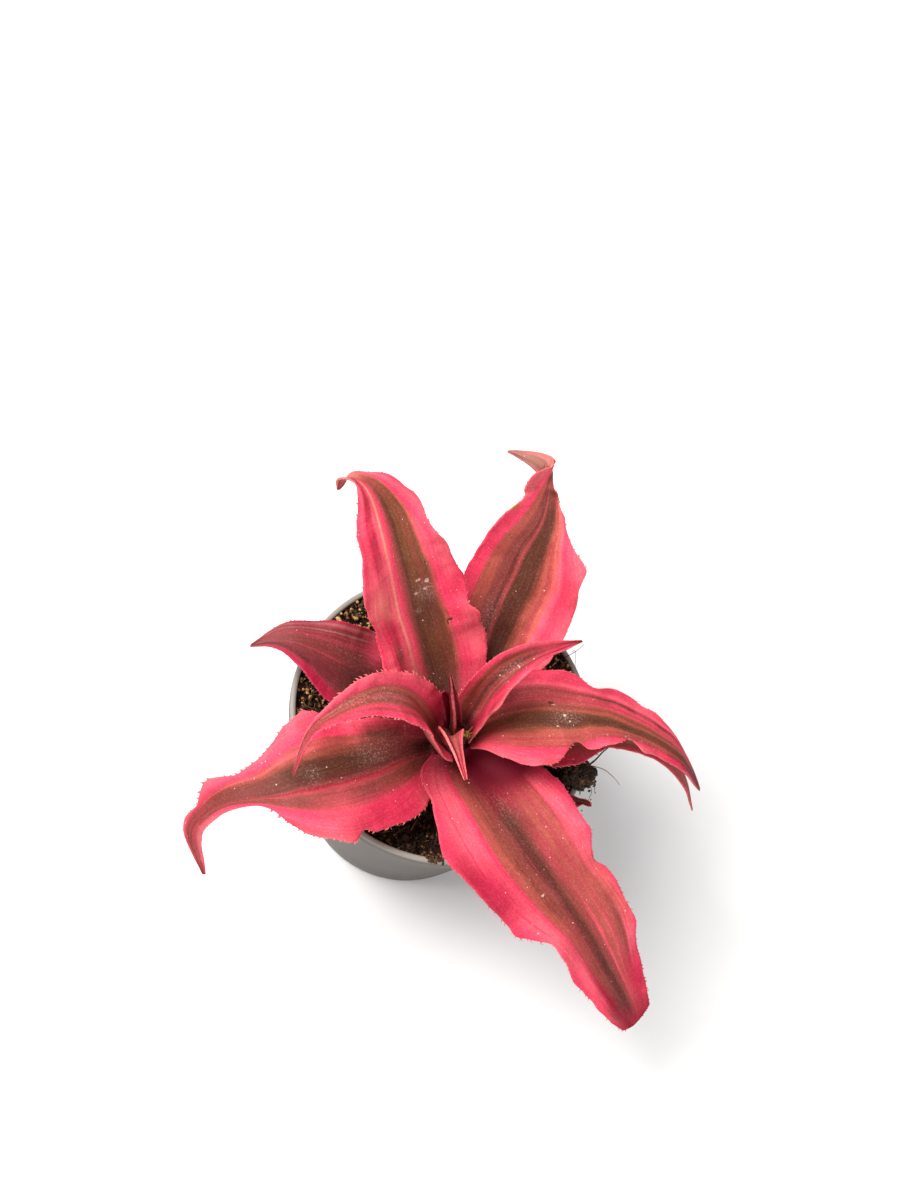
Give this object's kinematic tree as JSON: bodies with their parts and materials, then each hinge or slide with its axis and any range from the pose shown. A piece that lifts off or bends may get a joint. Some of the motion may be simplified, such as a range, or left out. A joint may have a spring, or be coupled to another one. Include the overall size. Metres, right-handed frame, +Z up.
{
  "type": "potted earth star plant",
  "caption": "Small bromeliad in a tapered nursery pot: a low rosette of broad ruffled leaves on a short stem, rooted in potting mix.",
  "frame": {"origin": "centre of the flat foot of the pot, on the surface that it stands on", "axes": "+Z up through the pot, -Y towards the side that the broad front leaves reach over"},
  "size_m": [0.098, 0.0905, 0.08],
  "materials": {
    "pot_plastic": "satin",
    "mix": "matte",
    "stem": "satin",
    "leaf": "satin",
    "leaf_withered": "satin"
  },
  "bodies": {
    "root": {"pot": "pot_plastic", "potting_mix": "mix", "mix_clump": "mix", "stem": "stem", "leaf_back_left": "leaf", "leaf_back_right": "leaf", "leaf_right": "leaf", "leaf_right_low": "leaf", "leaf_right_back_low": "leaf", "leaf_front_right_low": "leaf_withered", "leaf_front": "leaf", "leaf_front_left": "leaf", "leaf_left": "leaf", "leaf_inner_left": "leaf", "leaf_inner_right": "leaf", "leaf_heart_front": "leaf", "leaf_heart_spike": "leaf", "leaf_heart_back": "leaf"}
  },
  "joints": []
}
